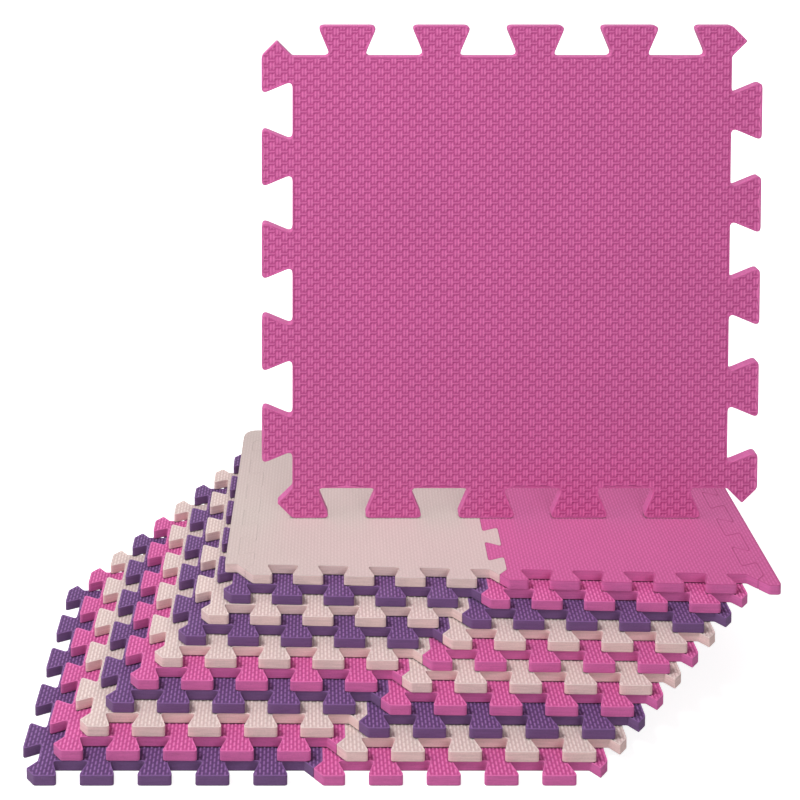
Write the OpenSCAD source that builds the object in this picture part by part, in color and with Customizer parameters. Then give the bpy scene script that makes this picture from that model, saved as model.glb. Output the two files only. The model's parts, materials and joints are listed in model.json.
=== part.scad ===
// Stack of interlocking foam floor tiles, two to a layer, with one large tile standing on top.
// +X right, +Y back, +Z up, millimetres.
// Origin: centre of the underside of the bottom left tile.

/* [Floor tile] */
// Pitch of one tile in the floor grid (1 foot size)
tile_module = 305; // [240:5:400]
// Tabs along each side, the corner tab included
tabs_per_side = 5; // [4:1:6]
// How far the tabs stand out from the tile body
tab_depth = 20; // [12:1:24]
// How much the tab widens on each flank, at the tip and against its mean width
tab_flare = 4.2; // [1:0.1:4.5]
// Rounding of the tab tips and roots
tab_radius = 3; // [1:0.5:4]
// Foam thickness
tile_thickness = 11.5; // [8:0.5:14]
// Play between two joined pieces, on each piece
joint_play = 0.12; // [0.05:0.01:0.3]

/* [Stack] */
// Shift of each layer to the right of the one below
step_right = 25.6; // [0:0.1:30]
// Shift of each layer to the back of the one below
step_back = 18.9; // [0:0.1:30]
// Turn of each layer on the one below, degrees clockwise from above
step_turn = 0.22; // [0:0.01:0.3]
// Air left between two layers
layer_gap = 0.1; // [0.05:0.05:1]

/* [Border strips] */
// Width of the strip outside the tab tips
border_width = 15; // [6:1:24]
// Rounding of the outer corner at the back left
border_corner = 26; // [4:1:30]

/* [Standing tile] */
// Pitch of the standing tile (60 cm size)
standing_module = 600; // [400:10:620]
// Thickness of the standing tile
standing_thickness = 12; // [8:0.5:20]
// Centre of the standing tile to the right of the bottom left tile centre
standing_right = 410; // [360:5:440]
// Front face of the standing tile behind the bottom left tile centre
standing_back = 128; // [90:2:200]

/* [Foam colours] */
// Pink foam
pink = "#cf5a99"; // color
// Purple foam
purple = "#6f4a8c"; // color
// Cream foam
cream = "#e4cfca"; // color

/* [Hidden] */

layer_count = 10;
layer_pitch = tile_thickness + layer_gap;

// Corner radii
corner_tab_radius = tab_radius * 1.5; // outer corner of a corner tab
grid_corner_radius = tab_radius * 0.35; // where four tiles meet
left_strip_end_radius = 2.5;
left_strip_notch_radius = 1; // where the foot meets the tip of the first back tab
right_strip_end_radius = 7;

// Corner curves: straight pieces in each, and the most of an edge that one may use
arc_steps = 3;
max_edge_share = 0.42;

// Distances from a floor tile's centre
body_edge = body_half(tile_module, 1);
tab_tip = body_edge + tab_depth;
strip_edge = tab_tip + border_width;
grid_corner = tile_module / 2;

// The standing tile's tabs are the floor tile's, enlarged
standing_scale = standing_module / tile_module;
standing_height = standing_module + tab_depth * standing_scale;

// ---- outline helpers: points are [x, y, corner radius] and run clockwise ----
function turned(p, angle) = [
  p[0] * cos(angle) - p[1] * sin(angle),
  p[0] * sin(angle) + p[1] * cos(angle),
  p[2]
];
function backwards(points) = [for (i = [len(points) - 1 : -1 : 0]) points[i]];
function unit(v) = v / norm(v);

// position of point i, counted round the outline, and the edge that leaves it
function position(points, i) =
  let (p = points[(i + len(points)) % len(points)]) [p[0], p[1]];
function edge(points, i) = position(points, i + 1) - position(points, i);

// moves every edge inwards by a distance
function inset(points, distance) = [
  for (i = [0 : len(points) - 1])
    let (
      before = unit(edge(points, i - 1)),
      after = unit(edge(points, i)),
      normal_before = [before[1], -before[0]],
      normal_after = [after[1], -after[0]],
      shift = distance * (normal_before + normal_after) / (1 + normal_before * normal_after),
      moved = position(points, i) + shift
    )
    [moved[0], moved[1], points[i][2]]
];

// replaces every corner by a quadratic curve that starts and ends on its edges
function softened(points, scale) = [
  for (i = [0 : len(points) - 1])
    let (
      corner = position(points, i),
      before = edge(points, i - 1),
      after = edge(points, i),
      half_turn = acos(max(-1, min(1, unit(before) * unit(after)))) / 2,
      reach = min(
        points[i][2] * scale * tan(half_turn),
        max_edge_share * norm(before),
        max_edge_share * norm(after)
      ),
      start = corner - reach * unit(before),
      end = corner + reach * unit(after)
    )
    for (j = [0 : arc_steps])
      let (s = j / arc_steps)
        (1 - s) * (1 - s) * start + 2 * s * (1 - s) * corner + s * s * end
];

function outline(points, scale = 1) = softened(inset(points, joint_play), scale);

// ---- tile outline: size is the grid pitch, scale enlarges the tabs ----
function body_half(size, scale) = (size - tab_depth * scale) / 2;
// half the mean width of a tab; tabs and gaps are equally wide
function tab_half(size) = size / tabs_per_side / 4;
function tab_centre(size, i) =
  size / 2 - tab_half(size) - (tabs_per_side - 1 - i) * size / tabs_per_side;

// back side, left to right: root corner, tabs, corner tab, grid corner
function side_points(size, scale) = let (
    half = tab_half(size),
    flare = tab_flare * scale,
    root = body_half(size, scale),
    tip = root + tab_depth * scale
  ) [
    [-root, root, tab_radius],
    for (i = [0 : tabs_per_side - 1])
      let (centre = tab_centre(size, i), is_corner = i == tabs_per_side - 1)
        each [
          [centre - half + flare, root, tab_radius],
          [centre - half - flare, tip, tab_radius],
          is_corner ? [root, tip, corner_tab_radius] : [centre + half + flare, tip, tab_radius],
          is_corner
            ? [size / 2, size / 2, grid_corner_radius]
            : [centre + half - flare, root, tab_radius]
        ]
  ];

function turned_side(size, scale, angle) = [
  for (p = side_points(size, scale)) turned(p, angle)
];

function tile_points(size, scale) = [
  for (side = [0 : 3]) each turned_side(size, scale, -90 * side)
];

module tile_plate(size, scale, thickness)
  linear_extrude(height = thickness)
    polygon(outline(tile_points(size, scale), scale));

// ---- border strip outlines, each in the frame of the tile it joins ----
// strip on the left side, with a foot round the back corner up to the first back tab
function left_strip_points() = let (
    flank = tab_centre(tile_module, 0) - tab_half(tile_module)
  ) [
    [-strip_edge, -body_edge, left_strip_end_radius],
    [-strip_edge, strip_edge, border_corner],
    [flank - tab_flare, strip_edge, left_strip_end_radius],
    [flank - tab_flare, tab_tip, left_strip_notch_radius],
    [flank + tab_flare, body_edge, tab_radius],
    [-body_edge, body_edge, tab_radius],
    each backwards(turned_side(tile_module, 1, 90)),
    [-grid_corner, -grid_corner, grid_corner_radius],
    [-tab_tip, -body_edge, corner_tab_radius]
  ];

// strip on the right side
function right_strip_points() = [
  [grid_corner, grid_corner, grid_corner_radius],
  [tab_tip, tab_tip, corner_tab_radius],
  [strip_edge, tab_tip, right_strip_end_radius],
  [strip_edge, -tab_tip, right_strip_end_radius],
  [tab_tip, -tab_tip, corner_tab_radius],
  each backwards(turned_side(tile_module, 1, -90))
];

// ---- placing ----
// puts its children in the frame of the left tile of a layer
module on_layer(layer)
  translate([step_right, step_back, layer_pitch] * (layer - 1))
    rotate([0, 0, -step_turn * (layer - 1)])
      children();

// column 0 is the left tile, column 1 the right one
module floor_tile(layer, column, foam)
  color(foam)
    on_layer(layer)
      translate([tile_module * column, 0, 0])
        tile_plate(tile_module, 1, tile_thickness);

// ---- the pieces ----
module layer_1_left_tile() floor_tile(1, 0, purple);
module layer_1_right_tile() floor_tile(1, 1, pink);
module layer_2_left_tile() floor_tile(2, 0, pink);
module layer_2_right_tile() floor_tile(2, 1, cream);
module layer_3_left_tile() floor_tile(3, 0, cream);
module layer_3_right_tile() floor_tile(3, 1, purple);
module layer_4_left_tile() floor_tile(4, 0, purple);
module layer_4_right_tile() floor_tile(4, 1, pink);
module layer_5_left_tile() floor_tile(5, 0, pink);
module layer_5_right_tile() floor_tile(5, 1, cream);
module layer_6_left_tile() floor_tile(6, 0, cream);
module layer_6_right_tile() floor_tile(6, 1, pink);
module layer_7_left_tile() floor_tile(7, 0, purple);
module layer_7_right_tile() floor_tile(7, 1, cream);
module layer_8_left_tile() floor_tile(8, 0, cream);
module layer_8_right_tile() floor_tile(8, 1, purple);
module layer_9_left_tile() floor_tile(9, 0, purple);
module layer_9_right_tile() floor_tile(9, 1, pink);
module layer_10_left_tile() floor_tile(10, 0, cream);
module layer_10_right_tile() floor_tile(10, 1, pink);

module left_border_strip()
  color(cream)
    on_layer(layer_count)
      linear_extrude(height = tile_thickness)
        polygon(outline(left_strip_points()));

module right_border_strip()
  color(pink)
    on_layer(layer_count)
      translate([tile_module, 0, 0])
        linear_extrude(height = tile_thickness)
          polygon(outline(right_strip_points()));

// stands upright on the top layer, across the stack
module standing_tile()
  color(pink)
    translate([
      standing_right,
      standing_back + standing_thickness,
      layer_pitch * layer_count + standing_height / 2
    ])
      rotate([90, 0, 0])
        tile_plate(standing_module, standing_scale, standing_thickness);

layer_1_left_tile();
layer_1_right_tile();
layer_2_left_tile();
layer_2_right_tile();
layer_3_left_tile();
layer_3_right_tile();
layer_4_left_tile();
layer_4_right_tile();
layer_5_left_tile();
layer_5_right_tile();
layer_6_left_tile();
layer_6_right_tile();
layer_7_left_tile();
layer_7_right_tile();
layer_8_left_tile();
layer_8_right_tile();
layer_9_left_tile();
layer_9_right_tile();
layer_10_left_tile();
layer_10_right_tile();
left_border_strip();
right_border_strip();
standing_tile();
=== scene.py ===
import bpy, json, math
import numpy as np
from mathutils import Matrix, Vector
from mathutils.geometry import delaunay_2d_cdt

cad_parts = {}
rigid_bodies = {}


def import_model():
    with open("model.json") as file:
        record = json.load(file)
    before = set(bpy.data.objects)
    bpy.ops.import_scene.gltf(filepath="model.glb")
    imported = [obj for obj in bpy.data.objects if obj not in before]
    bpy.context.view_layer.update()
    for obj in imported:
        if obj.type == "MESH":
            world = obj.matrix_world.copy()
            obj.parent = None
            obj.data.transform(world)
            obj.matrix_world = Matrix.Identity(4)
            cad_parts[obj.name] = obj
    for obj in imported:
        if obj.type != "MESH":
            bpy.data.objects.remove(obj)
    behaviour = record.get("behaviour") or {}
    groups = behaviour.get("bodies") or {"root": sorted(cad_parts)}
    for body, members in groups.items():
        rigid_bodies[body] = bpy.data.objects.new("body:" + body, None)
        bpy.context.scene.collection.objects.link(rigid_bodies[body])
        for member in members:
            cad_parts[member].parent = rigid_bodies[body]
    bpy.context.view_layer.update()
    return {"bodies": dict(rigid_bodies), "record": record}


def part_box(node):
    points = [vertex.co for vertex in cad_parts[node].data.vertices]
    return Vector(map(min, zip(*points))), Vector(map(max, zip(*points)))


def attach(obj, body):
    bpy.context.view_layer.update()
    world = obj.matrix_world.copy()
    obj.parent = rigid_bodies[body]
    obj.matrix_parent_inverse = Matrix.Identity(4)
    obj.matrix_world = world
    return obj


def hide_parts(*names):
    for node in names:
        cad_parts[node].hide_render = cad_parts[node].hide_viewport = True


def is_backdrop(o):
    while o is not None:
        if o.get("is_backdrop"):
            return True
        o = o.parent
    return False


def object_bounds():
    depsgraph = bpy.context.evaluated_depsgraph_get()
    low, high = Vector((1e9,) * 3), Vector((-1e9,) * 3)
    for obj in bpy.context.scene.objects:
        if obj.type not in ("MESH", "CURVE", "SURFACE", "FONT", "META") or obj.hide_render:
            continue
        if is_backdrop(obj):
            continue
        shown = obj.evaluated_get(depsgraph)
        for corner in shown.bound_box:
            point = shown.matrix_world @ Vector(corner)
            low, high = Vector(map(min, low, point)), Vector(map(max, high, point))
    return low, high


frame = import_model()
MM = 0.001

# ------------------------------------------------------------------ outline of a tile
MODULE, TABS, DEPTH, FLARE, RADIUS, BORDER = 305.0, 5, 20.0, 4.2, 3.0, 15.0
PLAY = 0.04          # cut faces of joined foam all but touch
CORNER = 26.0
TURN = 0.22          # degrees a layer is turned on the one below


def side_points(m, k):
    q, f, d, r = m / TABS / 4, FLARE * k, DEPTH * k, RADIUS
    b = (m - d) / 2
    out = [(-b, b, r)]
    for i in range(TABS):
        c = m / 2 - q - (TABS - 1 - i) * m / TABS
        if i < TABS - 1:
            out += [(c - q + f, b, r), (c - q - f, b + d, r), (c + q + f, b + d, r), (c + q - f, b, r)]
        else:
            out += [(c - q + f, b, r), (c - q - f, b + d, r), (b, b + d, r * 1.5), (m / 2, m / 2, r * 0.35)]
    return out


def turned(p, deg):
    c, s = round(math.cos(math.radians(deg))), round(math.sin(math.radians(deg)))
    return (p[0] * c - p[1] * s, p[0] * s + p[1] * c, p[2])


def tile_points(m, k):
    return [turned(p, -90 * s) for s in range(4) for p in side_points(m, k)]


def left_strip_points(m):
    d, q = DEPTH, m / TABS / 4
    b = (m - d) / 2
    out = b + d + BORDER
    c = m / 2 - q - (TABS - 1) * m / TABS
    side = [turned(p, 90) for p in side_points(m, 1)]
    return ([(-out, -b, 2.5), (-out, out, CORNER), (c - q - FLARE, out, 2.5), (c - q - FLARE, b + d, 1.0),
             (c - q + FLARE, b, RADIUS), (-b, b, RADIUS)] + side[::-1] +
            [(-m / 2, -m / 2, RADIUS * 0.35), (-b - d, -b, RADIUS * 1.5)])


def right_strip_points(m):
    d = DEPTH
    b = (m - d) / 2
    out = b + d + BORDER
    side = [turned(p, -90) for p in side_points(m, 1)]
    return ([(m / 2, m / 2, RADIUS * 0.35), (b + d, b + d, RADIUS * 1.5), (out, b + d, 7.0), (out, -b - d, 7.0),
             (b + d, -b - d, RADIUS * 1.5)] + side[::-1])


def inset(v, d):
    n, res = len(v), []
    for i in range(n):
        p, a0, b0 = np.array(v[i][:2]), np.array(v[i - 1][:2]), np.array(v[(i + 1) % n][:2])
        a, b = (p - a0) / np.linalg.norm(p - a0), (b0 - p) / np.linalg.norm(b0 - p)
        na, nb = np.array([a[1], -a[0]]), np.array([b[1], -b[0]])
        q = p + d * (na + nb) / (1 + na @ nb)
        res.append((q[0], q[1], v[i][2]))
    return res


def softened(v, k, steps=5, guard=0.5):
    """Every corner becomes a short curve, with a guard point on each side so that the flats shade flat."""
    n, res = len(v), []
    for i in range(n):
        p = np.array(v[i][:2])
        va, vb = p - np.array(v[i - 1][:2]), np.array(v[(i + 1) % n][:2]) - p
        la, lb = np.linalg.norm(va), np.linalg.norm(vb)
        a, b = va / la, vb / lb
        half = math.acos(max(-1, min(1, a @ b))) / 2
        t = min(v[i][2] * k * math.tan(half), 0.42 * la, 0.42 * lb)
        p0, p2 = p - t * a, p + t * b
        res.append(p0 - guard * a)
        for j in range(steps + 1):
            s = j / steps
            res.append((1 - s) ** 2 * p0 + 2 * s * (1 - s) * p + s * s * p2)
        res.append(p2 + guard * b)
    return np.array(res)


def inside(pts, poly):
    """Even-odd test of many points against one polygon."""
    x, y = pts[:, 0], pts[:, 1]
    hit = np.zeros(len(pts), bool)
    q = np.roll(poly, -1, axis=0)
    for (x1, y1), (x2, y2) in zip(poly, q):
        if y1 == y2:
            continue
        cross = (y1 > y) != (y2 > y)
        hit ^= cross & (x < (x2 - x1) * (y - y1) / (y2 - y1) + x1)
    return hit


def edge_distance(pts, poly, reach):
    """Distance to the outline, worked out only where it is below reach."""
    dist = np.full(len(pts), reach)
    q = np.roll(poly, -1, axis=0)
    for a, b in zip(poly, q):
        lo, hi = np.minimum(a, b) - reach, np.maximum(a, b) + reach
        near = np.nonzero(((pts > lo) & (pts < hi)).all(axis=1))[0]
        if not len(near):
            continue
        v, w = b - a, pts[near] - a
        t = np.clip((w @ v) / max(v @ v, 1e-12), 0, 1)
        dist[near] = np.minimum(dist[near], np.linalg.norm(w - t[:, None] * v, axis=1))
    return dist


# ------------------------------------------------------------------ embossed weave
FINE = ([0.0, 0.25, 0.50, 0.75], [0.0, 0.27, 0.50, 0.73])     # node places in a cell of the large tile
PLAIN = ([0.0, 0.27, 0.49, 0.71], [0.0, 0.32, 0.68])          # small tile


def weave(ia, ib, nx, ny):
    """Height 0 to 1 of the embossed weave: cells with standing ribs and cells with a lying bar in turn."""
    qx, qy = ia % nx, ib % ny
    odd = ((ia // nx + ib // ny) % 2).astype(bool)
    if ny == 4:
        rib, rib_end = np.choose(qx, [0.28, 0.90, 0.42, 0.97]), np.choose(qx, [0.14, 0.84, 0.30, 0.92])
        bar, bar_end = np.choose(qx, [0.74, 0.86, 0.84, 0.86]), np.choose(qx, [0.18, 0.24, 0.12, 0.24])
        pit = np.where(qy == 2, bar, bar_end)
    else:
        # seen from afar the ribs of the small tiles run together into knotted cords
        rib = rib_end = np.choose(qx, [0.06, 0.46, 1.00, 0.50])
        pit = np.choose(qx, [0.05, 0.24, 0.38, 0.26])
    return np.where(qy == 0, rib_end, np.where(odd, pit, rib))


def sheet(outer, guard, cell, nodes, border):
    """Flat patterned face inside a ring. Returns ring-relative points, heights and triangles or quads.
    Vertex order: the ring's points first, then the grid's."""
    fx, fy = nodes
    nx, ny = len(fx), len(fy)
    lo, hi = outer.min(0), outer.max(0)
    ka, kb = int(max(abs(lo[0]), abs(hi[0])) / cell[0]) + 2, int(max(abs(lo[1]), abs(hi[1])) / cell[1]) + 2
    ia, ib = np.arange(-ka * nx, ka * nx + 1), np.arange(-kb * ny, kb * ny + 1)
    X = cell[0] * (ia // nx + np.array(fx)[ia % nx])
    Y = cell[1] * (ib // ny + np.array(fy)[ib % ny])
    A, B = np.meshgrid(ia, ib, indexing="ij")
    PX, PY = np.meshgrid(X, Y, indexing="ij")
    P = np.stack([PX.ravel(), PY.ravel()], 1)
    ok = inside(P, outer)
    d = edge_distance(P, outer, border + 0.01)
    ok &= d > guard
    ok = ok.reshape(A.shape)
    quad = ok[:-1, :-1] & ok[1:, :-1] & ok[1:, 1:] & ok[:-1, 1:]
    # a lone strip of quads would leave slivers, so every used quad keeps its four corners only
    used = np.zeros_like(ok)
    used[:-1, :-1] |= quad; used[1:, :-1] |= quad; used[1:, 1:] |= quad; used[:-1, 1:] |= quad
    idx = -np.ones(A.shape, int)
    n_ring = len(outer)
    idx[used] = n_ring + np.arange(used.sum())
    G = P[used.ravel()]
    fade = np.clip((d[used.ravel()] - guard) / (border - guard), 0, 1)
    fade = 0.35 + 0.65 * fade
    h = 0.55 + (weave(A[used], B[used], nx, ny) - 0.55) * fade
    i, j = np.nonzero(quad)
    quads = np.stack([idx[i, j], idx[i + 1, j], idx[i + 1, j + 1], idx[i, j + 1]], 1)
    # outline of the grid part
    pad = np.zeros((quad.shape[0] + 2, quad.shape[1] + 2), bool)
    pad[1:-1, 1:-1] = quad
    edges = []
    for (di, dj, c0, c1) in ((0, -1, (0, 0), (1, 0)), (1, 0, (1, 0), (1, 1)), (0, 1, (1, 1), (0, 1)), (-1, 0, (0, 1), (0, 0))):
        nb_ = pad[1 + di:pad.shape[0] - 1 + di, 1 + dj:pad.shape[1] - 1 + dj]
        i, j = np.nonzero(quad & ~nb_)
        edges.append(np.stack([idx[i + c0[0], j + c0[1]], idx[i + c1[0], j + c1[1]]], 1))
    edges = np.concatenate(edges)
    rim = np.unique(edges)
    local = {int(v): n_ring + k for k, v in enumerate(rim)}
    verts = [Vector(p) for p in outer] + [Vector(G[v - n_ring]) for v in rim]
    es = [(k, (k + 1) % n_ring) for k in range(n_ring)] + [(local[int(a)], local[int(b)]) for a, b in edges]
    vo, _, faces, vorig, _, _ = delaunay_2d_cdt(verts, es, [], 0, 1e-7)
    back = {}
    for k, o in enumerate(vorig):
        back[k] = o[0] if o else None
    tri = np.array([[back[v] for v in f] for f in faces if all(back[v] is not None for v in f)])
    cv = np.array([list(v) for v in verts])
    cen = cv[tri].mean(1)
    keep = inside(cen, outer)
    ci = np.searchsorted(X, cen[:, 0]) - 1
    cj = np.searchsorted(Y, cen[:, 1]) - 1
    ci, cj = np.clip(ci, 0, quad.shape[0] - 1), np.clip(cj, 0, quad.shape[1] - 1)
    keep &= ~quad[ci, cj]
    tri = tri[keep]
    remap = np.concatenate([np.arange(n_ring), rim])
    tri = remap[tri]
    allp = np.concatenate([outer, G])
    e1, e2 = allp[tri[:, 1]] - allp[tri[:, 0]], allp[tri[:, 2]] - allp[tri[:, 0]]
    s = e1[:, 0] * e2[:, 1] - e1[:, 1] * e2[:, 0]
    tri = tri[np.abs(s) > 1e-9]
    s = s[np.abs(s) > 1e-9]
    tri[s < 0] = tri[s < 0][:, ::-1]
    return G, h, quads, tri


def plate(name, points, k, thick, cell, nodes, depth, edge, foot, soft=1.0):
    """A foam plate: top at z = thick with the weave pressed into it, rounded rims, straight cut walls.
    Local millimetres. Keeps a float attribute 'emboss' (1 on ribs, 0 in the pits) and 'wall' (1 on the cut edge, -1 on the underside)."""
    guard = 0.5 * k
    ring = lambda d: softened(inset(points, PLAY + d), k, guard=guard)
    e, g = edge, foot
    rings = [(g, 0.0), (0.45 * g, 0.12 * g), (0.12 * g, 0.45 * g), (0.0, g), (0.0, 1.6 * g), (0.0, thick - 1.6 * e),
             (0.0, thick - 0.7 * e), (0.38 * e, thick - 0.14 * e), (e, thick)]
    # from the underside up; the underside's rim is first
    V, W, H = [], [], []
    n = None
    for d, z in rings:
        r = ring(d)
        n = len(r)
        V.append(np.column_stack([r, np.full(n, z)]))
        rim = z > thick - e
        W.append(np.full(n, -1.0 if z == 0.0 else 0.0 if rim else 1.0))
        # painted highlight: the rounded rim is painted paler; on the joined top plates it doesn't show on the cream and
        # is a little darker on the pink
        H.append(np.full(n, (0.66 if soft == 1.0 else 0.40 if soft < 0.3 else 0.14) if rim else 0.55))
    top_ring = V[-1][:, :2]
    # rings run clockwise, and faces want counter-clockwise as seen from outside
    faces4, faces3, ngons = [], [], []
    for a in range(len(rings) - 1):
        i = np.arange(n)
        j = (i + 1) % n
        faces4.append(np.stack([a * n + j, a * n + i, (a + 1) * n + i, (a + 1) * n + j], 1))
    base = (len(rings) - 1) * n
    G, h, quads, tri = sheet(top_ring, 0.14 * cell[0], cell, nodes, 0.9 * k + 0.5)
    total = len(rings) * n
    shift = lambda f: np.where(f < n, f + base, f - n + total)
    V.append(np.column_stack([G, thick - depth * (1 - h)]))
    W.append(np.zeros(len(G))); H.append(h if soft == 1.0 else 0.42 + (h - 0.45) * soft)
    faces4.append(shift(quads)); faces3.append(shift(tri))
    total += len(G)
    ngons.append(np.arange(n))          # clockwise from above is counter-clockwise from below
    V, W, H = np.concatenate(V), np.concatenate(W), np.concatenate(H)
    faces4, faces3 = np.concatenate(faces4), np.concatenate(faces3)
    loops = np.concatenate([faces4.ravel(), faces3.ravel()] + [g for g in ngons]).astype(np.int32)
    sizes = np.concatenate([np.full(len(faces4), 4), np.full(len(faces3), 3), np.array([len(g) for g in ngons], int)]).astype(np.int32)
    starts = np.concatenate([[0], np.cumsum(sizes)[:-1]]).astype(np.int32)
    me = bpy.data.meshes.new(name)
    me.vertices.add(len(V)); me.loops.add(len(loops)); me.polygons.add(len(sizes))
    me.vertices.foreach_set("co", (V * MM).astype(np.float32).ravel())
    me.loops.foreach_set("vertex_index", loops)
    me.polygons.foreach_set("loop_start", starts)
    me.polygons.foreach_set("loop_total", sizes)
    me.polygons.foreach_set("use_smooth", np.ones(len(sizes), bool))
    me.update(calc_edges=True)
    me.validate(verbose=False)
    for key, val in (("emboss", H), ("wall", W)):
        at = me.attributes.new(key, "FLOAT", "POINT")
        at.data.foreach_set("value", val.astype(np.float32))
    print("plate", name, "verts", len(V), "tris", len(faces4) * 2 + len(faces3))
    return me


# ------------------------------------------------------------------ foam material
def srgb(r, g, b):
    f = lambda c: c / 12.92 if c <= 0.04045 else ((c + 0.055) / 1.055) ** 2.4
    return (f(r / 255), f(g / 255), f(b / 255), 1.0)


def foam(name, rib, mid, pit, wall):
    """Closed-cell foam skin with ribs painted paler and pits painted darker (painted highlight and shade), painted
    shade in the corners, and a smooth cut wall.
    """
    m = bpy.data.materials.new(name)
    m.use_nodes = True
    nt = m.node_tree
    nt.nodes.clear()
    N = lambda t, **kw: _node(nt, t, **kw)
    L = nt.links.new
    out = N("ShaderNodeOutputMaterial")
    bsdf = N("ShaderNodeBsdfPrincipled")
    L(bsdf.outputs[0], out.inputs[0])
    co = N("ShaderNodeTexCoord")
    emb = N("ShaderNodeAttribute"); emb.attribute_name = "emboss"
    raw = N("ShaderNodeAttribute"); raw.attribute_name = "wall"
    wal = N("ShaderNodeMath", operation="MAXIMUM"); wal.inputs[1].default_value = 0.0
    L(raw.outputs["Fac"], wal.inputs[0])
    back = N("ShaderNodeMath", operation="MULTIPLY", use_clamp=True); back.inputs[1].default_value = -1.0
    L(raw.outputs["Fac"], back.inputs[0])
    # painted highlight and shade by height: the pits are painted darker and the ribs paler
    ramp = N("ShaderNodeValToRGB")
    ramp.color_ramp.elements[0].position, ramp.color_ramp.elements[0].color = 0.05, pit
    ramp.color_ramp.elements[1].position, ramp.color_ramp.elements[1].color = 0.97, rib
    ramp.color_ramp.elements.new(0.56).color = mid
    L(emb.outputs["Fac"], ramp.inputs[0])
    # slow cloudy tint over the sheet
    cloud = N("ShaderNodeTexNoise"); cloud.inputs["Scale"].default_value = 9.0; cloud.inputs["Detail"].default_value = 3.0
    L(co.outputs["Object"], cloud.inputs["Vector"])
    cmap = N("ShaderNodeMapRange"); cmap.inputs["To Min"].default_value = 0.955; cmap.inputs["To Max"].default_value = 1.045
    L(cloud.outputs["Fac"], cmap.inputs["Value"])
    # foam cells
    cell = N("ShaderNodeTexVoronoi"); cell.feature = "F1"; cell.inputs["Scale"].default_value = 1500.0
    L(co.outputs["Object"], cell.inputs["Vector"])
    grain = N("ShaderNodeTexNoise"); grain.inputs["Scale"].default_value = 700.0; grain.inputs["Detail"].default_value = 4.0
    L(co.outputs["Object"], grain.inputs["Vector"])
    gmap = N("ShaderNodeMapRange"); gmap.inputs["From Min"].default_value = 0.3; gmap.inputs["From Max"].default_value = 0.7
    gmap.inputs["To Min"].default_value = 0.93; gmap.inputs["To Max"].default_value = 1.06
    L(grain.outputs["Fac"], gmap.inputs["Value"])
    mul = N("ShaderNodeMath", operation="MULTIPLY")
    L(cmap.outputs[0], mul.inputs[0]); L(gmap.outputs[0], mul.inputs[1])
    # cut wall: saw streaks along the edge, and open pores
    sep = N("ShaderNodeSeparateXYZ"); L(co.outputs["Object"], sep.inputs[0])
    comb = N("ShaderNodeCombineXYZ")
    for k, g in (("X", 0.06), ("Y", 0.06), ("Z", 1.0)):
        mm = N("ShaderNodeMath", operation="MULTIPLY"); mm.inputs[1].default_value = g
        L(sep.outputs[k], mm.inputs[0]); L(mm.outputs[0], comb.inputs[k])
    streak = N("ShaderNodeTexNoise"); streak.inputs["Scale"].default_value = 620.0; streak.inputs["Detail"].default_value = 3.0
    L(comb.outputs[0], streak.inputs["Vector"])
    smap = N("ShaderNodeMapRange"); smap.inputs["From Min"].default_value = 0.3; smap.inputs["From Max"].default_value = 0.7
    smap.inputs["To Min"].default_value = 0.90; smap.inputs["To Max"].default_value = 1.07
    L(streak.outputs["Fac"], smap.inputs["Value"])
    mixc = N("ShaderNodeMix", data_type="RGBA"); mixc.inputs[7].default_value = wall
    L(wal.outputs[0], mixc.inputs[0]); L(ramp.outputs[0], mixc.inputs[6])
    one = N("ShaderNodeMix", data_type="FLOAT"); one.inputs[2].default_value = 1.0
    L(wal.outputs[0], one.inputs[0]); L(smap.outputs[0], one.inputs[3])
    mul1 = N("ShaderNodeMath", operation="MULTIPLY")
    L(mul.outputs[0], mul1.inputs[0]); L(one.outputs[0], mul1.inputs[1])
    # moulded pebble grain on the underside
    peb = N("ShaderNodeTexVoronoi"); peb.feature = "SMOOTH_F1"; peb.inputs["Scale"].default_value = 300.0
    L(co.outputs["Object"], peb.inputs["Vector"])
    pmap = N("ShaderNodeMapRange"); pmap.inputs["From Min"].default_value = 0.1; pmap.inputs["From Max"].default_value = 0.7
    pmap.inputs["To Min"].default_value = 1.06; pmap.inputs["To Max"].default_value = 0.84
    L(peb.outputs["Distance"], pmap.inputs["Value"])
    pmix = N("ShaderNodeMix", data_type="FLOAT"); pmix.inputs[2].default_value = 1.0
    L(back.outputs[0], pmix.inputs[0]); L(pmap.outputs[0], pmix.inputs[3])
    mul2 = N("ShaderNodeMath", operation="MULTIPLY")
    L(mul1.outputs[0], mul2.inputs[0]); L(pmix.outputs[0], mul2.inputs[1])
    vm = N("ShaderNodeVectorMath", operation="SCALE")
    L(mixc.outputs[2], vm.inputs[0]); L(mul2.outputs[0], vm.inputs["Scale"])
    # painted shade: the base colour is darkened by ambient occlusion in the corners where pieces meet
    ao = N("ShaderNodeAmbientOcclusion", samples=4)
    ao.inputs["Distance"].default_value = 0.0038
    amap = N("ShaderNodeMapRange"); amap.inputs["From Min"].default_value = 0.18; amap.inputs["From Max"].default_value = 0.72
    amap.inputs["To Min"].default_value = 0.22; amap.inputs["To Max"].default_value = 1.0
    L(ao.outputs["AO"], amap.inputs["Value"])
    shade = N("ShaderNodeVectorMath", operation="SCALE")
    L(vm.outputs[0], shade.inputs[0]); L(amap.outputs[0], shade.inputs["Scale"])
    L(shade.outputs[0], bsdf.inputs["Base Color"])
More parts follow.
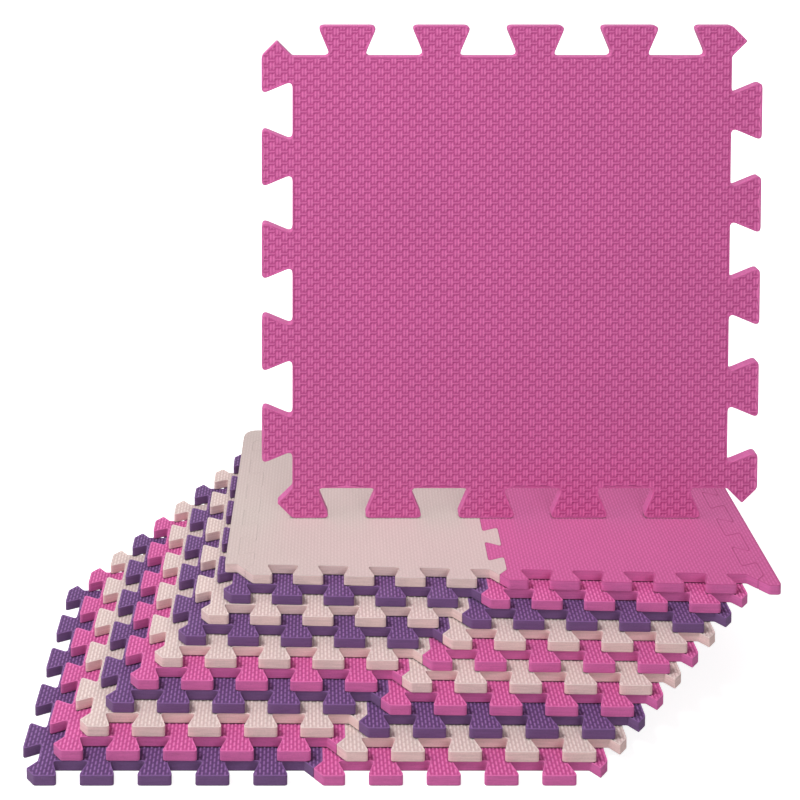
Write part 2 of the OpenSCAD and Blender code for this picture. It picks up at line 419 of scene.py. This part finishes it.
    # roughness: ribs a little smoother than the pits, walls dry
    rmap = N("ShaderNodeMapRange"); rmap.inputs["To Min"].default_value = 0.82; rmap.inputs["To Max"].default_value = 0.60
    L(emb.outputs["Fac"], rmap.inputs["Value"])
    rmix = N("ShaderNodeMix", data_type="FLOAT"); rmix.inputs[3].default_value = 0.88
    L(wal.outputs[0], rmix.inputs[0]); L(rmap.outputs[0], rmix.inputs[2])
    L(rmix.outputs[0], bsdf.inputs["Roughness"])
    bsdf.inputs["IOR"].default_value = 1.45
    bsdf.inputs["Specular IOR Level"].default_value = 0.35
    bsdf.inputs["Sheen Weight"].default_value = 0.12
    bsdf.inputs["Sheen Roughness"].default_value = 0.5
    # bump: cells and grain on the skin, streaks on the wall
    b1 = N("ShaderNodeBump"); b1.inputs["Strength"].default_value = 0.25; b1.inputs["Distance"].default_value = 0.0004
    L(cell.outputs["Distance"], b1.inputs["Height"])
    b2 = N("ShaderNodeBump"); b2.inputs["Strength"].default_value = 0.35; b2.inputs["Distance"].default_value = 0.0004
    L(grain.outputs["Fac"], b2.inputs["Height"]); L(b1.outputs[0], b2.inputs["Normal"])
    b3 = N("ShaderNodeBump"); b3.inputs["Distance"].default_value = 0.0005
    sm = N("ShaderNodeMath", operation="MULTIPLY"); sm.inputs[1].default_value = 0.4
    L(wal.outputs[0], sm.inputs[0]); L(sm.outputs[0], b3.inputs["Strength"])
    L(streak.outputs["Fac"], b3.inputs["Height"]); L(b2.outputs[0], b3.inputs["Normal"])
    b4 = N("ShaderNodeBump", invert=True); b4.inputs["Distance"].default_value = 0.0012
    bm = N("ShaderNodeMath", operation="MULTIPLY"); bm.inputs[1].default_value = 0.7
    L(back.outputs[0], bm.inputs[0]); L(bm.outputs[0], b4.inputs["Strength"])
    L(peb.outputs["Distance"], b4.inputs["Height"]); L(b3.outputs[0], b4.inputs["Normal"])
    L(b4.outputs[0], bsdf.inputs["Normal"])
    return m


def _node(nt, t, **kw):
    n = nt.nodes.new(t)
    for k, v in kw.items():
        setattr(n, k, v)
    return n


# the last colour of each foam is its cut wall's: on the pink and purple it is painted a little darker than the skin as
# painted shade on the side faces, and on the cream it is painted pinker as painted bounce light from the pink
PINK = foam("pink_foam", srgb(232, 126, 184), srgb(208, 96, 160), srgb(174, 60, 123), srgb(199, 96, 156))
PURPLE = foam("purple_foam", srgb(153, 111, 170), srgb(110, 73, 130), srgb(76, 43, 91), srgb(106, 73, 120))
CREAM = foam("cream_foam", srgb(231, 216, 210), srgb(218, 198, 193), srgb(197, 173, 168), srgb(220, 190, 186))
# shaded copies: the standing tile and the top layer are the same pink and cream foam as the stack, with their skins
# painted darker as painted shade
PINK_SHADED_STAND = foam("pink_stand_foam", srgb(228, 120, 179), srgb(200, 89, 152), srgb(165, 54, 116), srgb(198, 94, 154))
PINK_SHADED_TOP = foam("pink_top_foam", srgb(220, 121, 176), srgb(198, 92, 152), srgb(166, 61, 119), srgb(202, 98, 158))
CREAM_SHADED_TOP = foam("cream_top_foam", srgb(217, 207, 202), srgb(202, 188, 183), srgb(178, 157, 152), srgb(218, 191, 187))
TOP = {"layer_10_left_tile": CREAM_SHADED_TOP, "left_border_strip": CREAM_SHADED_TOP, "layer_10_right_tile": PINK_SHADED_TOP, "right_border_strip": PINK_SHADED_TOP,
       "standing_tile": PINK_SHADED_STAND}
FOAM = {"pink": PINK, "purple": PURPLE, "cream": CREAM}

# ------------------------------------------------------------------ the pieces
CELL = (4.08, 3.67)
small = plate("tile_small", tile_points(MODULE, 1), 1.0, 11.5, CELL, PLAIN, 0.75, 0.4, 0.9)
# the top layer shows a shallower weave, and the cream half is nearly smooth
top_cream = plate("tile_top_cream", tile_points(MODULE, 1), 1.0, 11.5, CELL, PLAIN, 0.25, 0.35, 0.9, 0.22)
top_pink = plate("tile_top_pink", tile_points(MODULE, 1), 1.0, 11.5, CELL, PLAIN, 0.40, 0.35, 0.9, 0.45)
strip_l = plate("strip_left", left_strip_points(MODULE), 1.0, 11.5, CELL, PLAIN, 0.25, 0.35, 0.9, 0.22)
strip_r = plate("strip_right", right_strip_points(MODULE), 1.0, 11.5, CELL, PLAIN, 0.40, 0.35, 0.9, 0.45)
STAND = 600.0
large = plate("tile_large", tile_points(STAND, STAND / 305), STAND / 305, 12.0, (2 * CELL[0], 2 * CELL[1]), FINE, 1.1, 0.7, 0.9)

SLOT = {s["node"]: s["material_slot"] for s in frame["record"]["subparts"]}


def put(node, mesh, matrix):
    me = mesh.copy()
    me.name = node
    me.transform(matrix)
    ob = bpy.data.objects.new(node + "_foam", me)
    bpy.context.scene.collection.objects.link(ob)
    me.materials.append(TOP.get(node) or FOAM[SLOT[node].split("_")[0]])
    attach(ob, next(b for b, o in frame["bodies"].items() if b == node))
    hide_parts(node)
    return ob


def centre(node):
    lo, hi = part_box(node)
    return (lo + hi) / 2, lo, hi


worst = 0.0
tops = {}
for layer in range(1, 11):
    rot = Matrix.Rotation(-math.radians(TURN * (layer - 1)), 4, "Z")
    for column in ("left", "right"):
        node = f"layer_{layer}_{column}_tile"
        c, lo, hi = centre(node)
        mat = Matrix.Translation((c.x, c.y, lo.z)) @ rot
        tops[node] = mat
        ob = put(node, small if layer < 10 else top_cream if column == "left" else top_pink, mat)
        l2 = np.array([v[:] for v in ob.bound_box])
        worst = max(worst, abs(l2.min(0) - np.array(lo)).max(), abs(l2.max(0) - np.array(hi)).max())
put("left_border_strip", strip_l, tops["layer_10_left_tile"])
put("right_border_strip", strip_r, tops["layer_10_right_tile"])
c, lo, hi = centre("standing_tile")
stand = put("standing_tile", large, Matrix.Translation((c.x, hi.y, c.z)) @ Matrix.Rotation(math.radians(90), 4, "X"))
for n in ("left_border_strip", "right_border_strip", "standing_tile"):
    ob = bpy.data.objects[n + "_foam"]
    lo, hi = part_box(n)
    l2 = np.array([v[:] for v in ob.bound_box])
    worst = max(worst, abs(l2.min(0) - np.array(lo)).max(), abs(l2.max(0) - np.array(hi)).max())
print("largest difference from the CAD boxes, mm:", round(worst * 1000, 3))

# ------------------------------------------------------------------ floor, light, camera
def floor():
    """White sweep. The camera sees it as a lit white ground, and the object gets a dimmer bounce from it."""
    me = bpy.data.meshes.new("floor")
    r, n = 30.0, 96
    me.from_pydata([(r * math.cos(2 * math.pi * i / n), r * math.sin(2 * math.pi * i / n), 0) for i in range(n)], [], [tuple(range(n))])
    ob = bpy.data.objects.new("floor", me)
    bpy.context.scene.collection.objects.link(ob)
    m = bpy.data.materials.new("floor")
    m.use_nodes = True
    nt = m.node_tree
    nt.nodes.clear()
    L = nt.links.new
    out = _node(nt, "ShaderNodeOutputMaterial")
    seen = _node(nt, "ShaderNodeAddShader")
    paint, glow = _node(nt, "ShaderNodeBsdfDiffuse"), _node(nt, "ShaderNodeEmission")
    paint.inputs["Color"].default_value = (0.62, 0.62, 0.62, 1)
    glow.inputs["Color"].default_value = (1, 1, 1, 1)
    # the far floor glows more, so that it runs into the sky without a line
    geo, dist, far = _node(nt, "ShaderNodeNewGeometry"), _node(nt, "ShaderNodeVectorMath", operation="LENGTH"), _node(nt, "ShaderNodeMapRange")
    L(geo.outputs["Position"], dist.inputs[0]); L(dist.outputs["Value"], far.inputs["Value"])
    far.inputs["From Min"].default_value, far.inputs["From Max"].default_value = 0.9, 3.2
    far.inputs["To Min"].default_value, far.inputs["To Max"].default_value = 0.80, 1.15
    L(far.outputs[0], glow.inputs["Strength"])
    L(paint.outputs[0], seen.inputs[0]); L(glow.outputs[0], seen.inputs[1])
    dim = _node(nt, "ShaderNodeBsdfDiffuse")
    dim.inputs["Color"].default_value = (0.55, 0.55, 0.55, 1)
    mix, ray = _node(nt, "ShaderNodeMixShader"), _node(nt, "ShaderNodeLightPath")
    L(ray.outputs["Is Camera Ray"], mix.inputs[0]); L(dim.outputs[0], mix.inputs[1]); L(seen.outputs[0], mix.inputs[2])
    L(mix.outputs[0], out.inputs[0])
    me.materials.append(m)
    ob.location.z = -0.0004
    ob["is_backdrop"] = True
    return ob


floor()


def lamp(name, loc, aim, size, power, color=(1, 1, 1)):
    li = bpy.data.lights.new(name, "AREA")
    li.shape, li.size, li.energy, li.color = "DISK", size, power, color
    ob = bpy.data.objects.new(name, li)
    bpy.context.scene.collection.objects.link(ob)
    ob.location = loc
    ob.rotation_euler = (Vector(aim) - Vector(loc)).to_track_quat("-Z", "Y").to_euler()
    return ob


MID = Vector((0.3, 0.1, 0.2))
key = lamp("key", MID + Vector((-1.7, -0.9, 2.6)), MID, 1.1, 78)
lamp("side", MID + Vector((-2.9, -0.9, 0.9)), MID, 1.6, 19)
lamp("fill", MID + Vector((0.9, -3.2, 1.3)), MID, 2.0, 35)
rear = lamp("back", MID + Vector((0.6, 2.6, 1.6)), MID, 1.8, 30)
# flagged lights: the standing tile keeps its long shadow off the stack
flag = bpy.data.collections.new("lamp_blockers")
for ob in bpy.data.objects:
    if ob.type == "MESH" and ob.name.endswith("_foam") and ob != stand:
        flag.objects.link(ob)
key.light_linking.blocker_collection = rear.light_linking.blocker_collection = flag
world = bpy.data.worlds.new("studio")
bpy.context.scene.world = world
world.use_nodes = True
wt = world.node_tree
bg = wt.nodes["Background"]
bg.inputs[0].default_value = (1.0, 1.0, 1.0, 1)
lp, ws = wt.nodes.new("ShaderNodeLightPath"), wt.nodes.new("ShaderNodeMix")
ws.data_type = "FLOAT"
ws.inputs[2].default_value, ws.inputs[3].default_value = 0.27, 1.0
wt.links.new(lp.outputs["Is Camera Ray"], ws.inputs[0])
wt.links.new(ws.outputs[0], bg.inputs[1])

sc = bpy.context.scene
sc.view_settings.view_transform = "Standard"
sc.view_settings.look = "None"
sc.view_settings.exposure = 0.0

# The camera looks all but level along +Y with a shifted lens, as a view camera does, so that upright things stay upright.
F, U0, V0 = 1202.8, 293.97, -137.76
cd = bpy.data.cameras.new("camera")
cam = bpy.data.objects.new("camera", cd)
sc.collection.objects.link(cam)
sc.camera = cam
cd.sensor_width = 36.0
cd.lens = F / 800 * 36.0
cam.rotation_mode = "XYZ"
cam.rotation_euler = (math.radians(88), 0, 0)
cam.location = (0.13181, -1.39456, 1.01671)
cd.clip_start, cd.clip_end = 0.05, 100
SHIFT = ((400 - U0) / 800, (V0 - 400) / 800)
# A camera turned to the object itself with quaternion rotation reads 0 here, and then the lens isn't shifted.
for path, value in (("shift_x", SHIFT[0]), ("shift_y", SHIFT[1])):
    setattr(cd, path, value)
    dr = cd.driver_add(path).driver
    dr.type = "SCRIPTED"
    va = dr.variables.new()
    va.name = "m"
    va.type = "SINGLE_PROP"
    va.targets[0].id_type = "OBJECT"
    va.targets[0].id = cam
    va.targets[0].data_path = "rotation_mode"
    dr.expression = f"{value:.6f} * min(m, 1)"

bpy.context.view_layer.update()
lo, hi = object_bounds()
